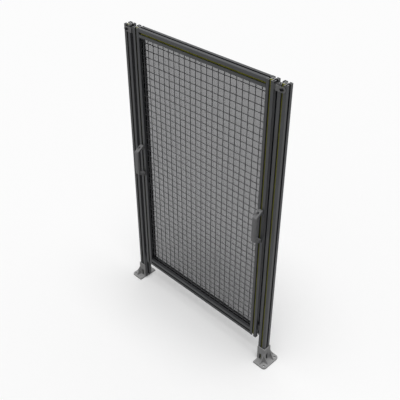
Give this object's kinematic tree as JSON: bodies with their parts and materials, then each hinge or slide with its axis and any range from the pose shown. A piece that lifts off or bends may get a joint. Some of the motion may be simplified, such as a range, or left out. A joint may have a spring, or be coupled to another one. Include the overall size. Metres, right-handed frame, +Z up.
{
  "type": "machine guard fence panel",
  "caption": "Machine guard fence panel: slotted aluminium posts on cast feet hold a framed panel of wire mesh and smoke-tinted sheet with lifting handles.",
  "frame": {"origin": "on the underside of the left foot, on the axis of the left post", "axes": "+X along the fence from the left post to the right one, -Y towards the operator's side with the handles, +Z up"},
  "size_m": [1.137, 0.137, 1.7],
  "materials": {
    "profile": "satin anodised, grey",
    "foot_casting": "die cast, grey paint",
    "slot_strip": "extruded, dull yellow",
    "mesh_wire": "powder coated, dark grey",
    "tinted_sheet": "clear, smoke grey tint",
    "handle": "moulded, grey",
    "screw": "zinc plated",
    "plate": "powder coated, grey",
    "block": "moulded, black"
  },
  "bodies": {
    "root": {"left_post": "profile", "right_post": "profile", "left_foot": "foot_casting", "right_foot": "foot_casting", "left_stile": "profile", "right_stile": "profile", "top_rail": "profile", "bottom_rail": "profile", "left_post_strip": "slot_strip", "right_post_strip": "slot_strip", "left_stile_strip": "slot_strip", "right_stile_strip": "slot_strip", "top_rail_strip": "slot_strip", "bottom_rail_strip": "slot_strip", "upper_mesh": "mesh_wire", "middle_mesh": "mesh_wire", "lower_mesh": "mesh_wire", "tinted_sheet": "tinted_sheet", "left_handle_grip": "handle", "left_handle_upper_leg": "handle", "left_handle_lower_leg": "handle", "left_handle_screws": "screw", "right_handle_grip": "handle", "right_handle_upper_leg": "handle", "right_handle_lower_leg": "handle", "right_handle_screws": "screw", "left_top_plate": "plate", "right_top_plate": "plate", "left_plate_screw": "screw", "right_plate_screw": "screw", "left_upper_block": "block", "right_upper_block": "block", "left_lower_block": "block", "right_lower_block": "block"}
  },
  "joints": []
}
